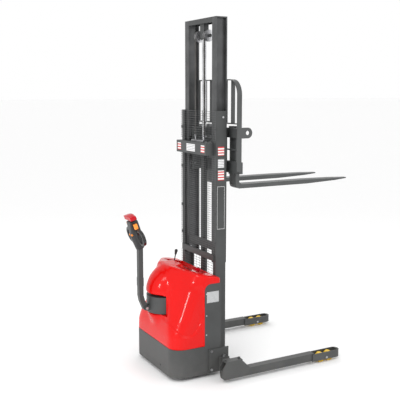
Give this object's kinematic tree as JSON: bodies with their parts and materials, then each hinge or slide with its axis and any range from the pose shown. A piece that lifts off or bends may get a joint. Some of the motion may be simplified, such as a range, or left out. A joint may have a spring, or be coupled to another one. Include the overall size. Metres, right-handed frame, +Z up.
{
  "type": "walkie stacker",
  "caption": "Walk-behind electric stacker with a two-stage mast, adjustable forks, straddle legs and a steering tiller.",
  "frame": {"origin": "middle of the overall box on the floor", "axes": "+Z up, +Y towards the fork tips, +X to the machine's right"},
  "size_m": [1.172, 2.0416, 2.891],
  "materials": {
    "powder_coat": "fine texture powder coat, satin",
    "red_plastic": "gloss",
    "black_plastic": "semi gloss",
    "zinc_steel": "zinc plated",
    "chrome_rod": "hard chrome",
    "dark_metal": "satin",
    "polyurethane": "satin polyurethane",
    "rubber": "matt",
    "orange_plastic": "gloss",
    "label": "satin label",
    "wire": "satin",
    "chain_steel": "oiled"
  },
  "bodies": {
    "chassis": {"chassis": "powder_coat", "hood": "red_plastic", "tray_cover": "red_plastic", "battery": "black_plastic", "pump_unit": "zinc_steel", "motor_controller": "zinc_steel", "hydraulic_line": "zinc_steel", "lift_cylinder": "dark_metal", "outer_mast_left": "powder_coat", "outer_mast_right": "powder_coat", "mast_crossbar": "powder_coat", "label_beam": "powder_coat", "mesh_guard": "wire", "guard_clips": "dark_metal", "chain_anchors": "zinc_steel", "leg_sleeve": "powder_coat", "sleeve_bolts": "zinc_steel", "data_plate": "label"},
    "hydraulic_lever": {"hydraulic_lever": "black_plastic"},
    "stop_button": {"stop_button": "red_plastic"},
    "mast_rollers_upper": {"mast_rollers_upper": "zinc_steel"},
    "inner_mast": {"inner_mast_left": "powder_coat", "inner_mast_right": "powder_coat", "inner_crossmembers": "powder_coat", "sheave_bracket": "powder_coat", "piston_rod": "chrome_rod", "chain_left": "chain_steel", "chain_right": "chain_steel"},
    "mast_rollers_lower": {"mast_rollers_lower": "zinc_steel"},
    "sheave_left": {"sheave_left": "zinc_steel"},
    "sheave_right": {"sheave_right": "zinc_steel"},
    "carriage": {"carriage": "powder_coat", "backrest": "powder_coat", "lifting_lugs": "powder_coat"},
    "carriage_rollers_upper": {"carriage_rollers_upper": "zinc_steel"},
    "carriage_rollers_lower": {"carriage_rollers_lower": "zinc_steel"},
    "fork_left": {"fork_left": "powder_coat"},
    "fork_right": {"fork_right": "powder_coat"},
    "leg_left": {"leg_left": "powder_coat"},
    "leg_right": {"leg_right": "powder_coat"},
    "bogie_left": {"bogie_left": "zinc_steel"},
    "bogie_right": {"bogie_right": "zinc_steel"},
    "load_roller_left_rear": {"load_roller_left_rear": "polyurethane"},
    "load_roller_left_front": {"load_roller_left_front": "polyurethane"},
    "load_roller_right_rear": {"load_roller_right_rear": "polyurethane"},
    "load_roller_right_front": {"load_roller_right_front": "polyurethane"},
    "steering": {"steering_drum": "powder_coat", "drive_unit": "dark_metal", "tiller_pin": "zinc_steel"},
    "drive_wheel": {"drive_wheel": "rubber"},
    "tiller": {"tiller_arm": "powder_coat", "tiller_head": "black_plastic"},
    "throttle": {"throttle": "orange_plastic"},
    "belly_button": {"belly_button": "red_plastic"},
    "raise_button": {"raise_button": "orange_plastic"},
    "lower_button": {"lower_button": "orange_plastic"},
    "caster_left": {"caster_left": "zinc_steel"},
    "caster_right": {"caster_right": "zinc_steel"},
    "caster_wheel_left": {"caster_wheel_left": "rubber"},
    "caster_wheel_right": {"caster_wheel_right": "rubber"}
  },
  "joints": [
    {"name": "mast_lift", "type": "slide", "parent": "chassis", "child": "inner_mast", "axis": [0, 0, 1], "range_m": [-0.734, 0.74], "deforming": ["chain_left", "chain_right"]},
    {"name": "carriage_lift", "type": "slide", "parent": "inner_mast", "child": "carriage", "axis": [0, 0, 1], "range_m": [-0.734, 0.74]},
    {"name": "sheave_left_spin", "type": "hinge", "parent": "inner_mast", "child": "sheave_left", "pos_m": [-0.074, -0.30919, 2.755], "axis": [1, 0, 0], "continuous": true},
    {"name": "sheave_right_spin", "type": "hinge", "parent": "inner_mast", "child": "sheave_right", "pos_m": [0.074, -0.30919, 2.755], "axis": [1, 0, 0], "continuous": true},
    {"name": "mast_rollers_upper_spin", "type": "hinge", "parent": "chassis", "child": "mast_rollers_upper", "pos_m": [0, -0.29819, 2.105], "axis": [1, 0, 0], "continuous": true},
    {"name": "mast_rollers_lower_spin", "type": "hinge", "parent": "inner_mast", "child": "mast_rollers_lower", "pos_m": [0, -0.31769, 0.96], "axis": [1, 0, 0], "continuous": true},
    {"name": "carriage_rollers_upper_spin", "type": "hinge", "parent": "carriage", "child": "carriage_rollers_upper", "pos_m": [0, -0.29819, 1.967], "axis": [1, 0, 0], "continuous": true},
    {"name": "carriage_rollers_lower_spin", "type": "hinge", "parent": "carriage", "child": "carriage_rollers_lower", "pos_m": [0, -0.29819, 1.7], "axis": [1, 0, 0], "continuous": true},
    {"name": "fork_left_slide", "type": "slide", "parent": "carriage", "child": "fork_left", "axis": [-1, 0, 0], "range_m": [-0.15, 0.1]},
    {"name": "fork_right_slide", "type": "slide", "parent": "carriage", "child": "fork_right", "axis": [1, 0, 0], "range_m": [-0.15, 0.1]},
    {"name": "leg_left_slide", "type": "slide", "parent": "chassis", "child": "leg_left", "axis": [-1, 0, 0], "range_m": [-0.06, 0.15]},
    {"name": "leg_right_slide", "type": "slide", "parent": "chassis", "child": "leg_right", "axis": [1, 0, 0], "range_m": [-0.06, 0.15]},
    {"name": "bogie_left_pivot", "type": "hinge", "parent": "leg_left", "child": "bogie_left", "pos_m": [-0.5425, 0.57881, 0.041], "axis": [1, 0, 0], "range_deg": [-8, 8]},
    {"name": "load_roller_left_rear_spin", "type": "hinge", "parent": "bogie_left", "child": "load_roller_left_rear", "pos_m": [-0.5425, 0.53381, 0.041], "axis": [1, 0, 0], "continuous": true},
    {"name": "load_roller_left_front_spin", "type": "hinge", "parent": "bogie_left", "child": "load_roller_left_front", "pos_m": [-0.5425, 0.62381, 0.041], "axis": [1, 0, 0], "continuous": true},
    {"name": "bogie_right_pivot", "type": "hinge", "parent": "leg_right", "child": "bogie_right", "pos_m": [0.5425, 0.57881, 0.041], "axis": [1, 0, 0], "range_deg": [-8, 8]},
    {"name": "load_roller_right_rear_spin", "type": "hinge", "parent": "bogie_right", "child": "load_roller_right_rear", "pos_m": [0.5425, 0.53381, 0.041], "axis": [1, 0, 0], "continuous": true},
    {"name": "load_roller_right_front_spin", "type": "hinge", "parent": "bogie_right", "child": "load_roller_right_front", "pos_m": [0.5425, 0.62381, 0.041], "axis": [1, 0, 0], "continuous": true},
    {"name": "steering_turn", "type": "hinge", "parent": "chassis", "child": "steering", "pos_m": [0, -0.68917, 0.3], "axis": [0, 0, 1], "range_deg": [-50, 50]},
    {"name": "drive_wheel_spin", "type": "hinge", "parent": "steering", "child": "drive_wheel", "pos_m": [0, -0.68917, 0.095], "axis": [1, 0, 0], "continuous": true},
    {"name": "tiller_tilt", "type": "hinge", "parent": "steering", "child": "tiller", "pos_m": [0, -0.86417, 0.542], "axis": [1, 0, 0], "range_deg": [0, 85], "stiffness_Nm_per_rad": 30, "springref_deg": -17.19},
    {"name": "throttle_turn", "type": "hinge", "parent": "tiller", "child": "throttle", "pos_m": [0, -0.97037, 1.24136], "axis": [1, 0, 0], "range_deg": [-25, 25], "stiffness_Nm_per_rad": 0.6},
    {"name": "belly_button_press", "type": "slide", "parent": "tiller", "child": "belly_button", "axis": [0, 0.2924, -0.9563], "range_m": [0, 0.008], "stiffness_N_per_m": 900, "springref_m": -0.006},
    {"name": "raise_button_press", "type": "slide", "parent": "tiller", "child": "raise_button", "axis": [0, 0.9563, 0.2924], "range_m": [0, 0.004], "stiffness_N_per_m": 400, "springref_m": -0.003},
    {"name": "lower_button_press", "type": "slide", "parent": "tiller", "child": "lower_button", "axis": [0, 0.9563, 0.2924], "range_m": [0, 0.004], "stiffness_N_per_m": 400, "springref_m": -0.003},
    {"name": "stop_button_press", "type": "slide", "parent": "chassis", "child": "stop_button", "axis": [0, 0, -1], "range_m": [0, 0.006]},
    {"name": "hydraulic_lever_tilt", "type": "hinge", "parent": "chassis", "child": "hydraulic_lever", "pos_m": [-0.19, -0.50419, 0.83344], "axis": [1, 0, 0], "range_deg": [-20, 20], "stiffness_Nm_per_rad": 2},
    {"name": "caster_left_swivel", "type": "hinge", "parent": "chassis", "child": "caster_left", "pos_m": [-0.27, -0.64417, 0.11], "axis": [0, 0, 1], "continuous": true},
    {"name": "caster_wheel_left_spin", "type": "hinge", "parent": "caster_left", "child": "caster_wheel_left", "pos_m": [-0.27, -0.67217, 0.04], "axis": [1, 0, 0], "continuous": true},
    {"name": "caster_right_swivel", "type": "hinge", "parent": "chassis", "child": "caster_right", "pos_m": [0.27, -0.64417, 0.11], "axis": [0, 0, 1], "continuous": true},
    {"name": "caster_wheel_right_spin", "type": "hinge", "parent": "caster_right", "child": "caster_wheel_right", "pos_m": [0.27, -0.67217, 0.04], "axis": [1, 0, 0], "continuous": true}
  ],
  "couplings": [
    {"joint": "carriage_lift", "follows": "mast_lift", "ratio": 1},
    {"joint": "sheave_left_spin", "follows": "mast_lift", "rad_per_m": 23.809},
    {"joint": "sheave_right_spin", "follows": "mast_lift", "rad_per_m": 23.809}
  ]
}
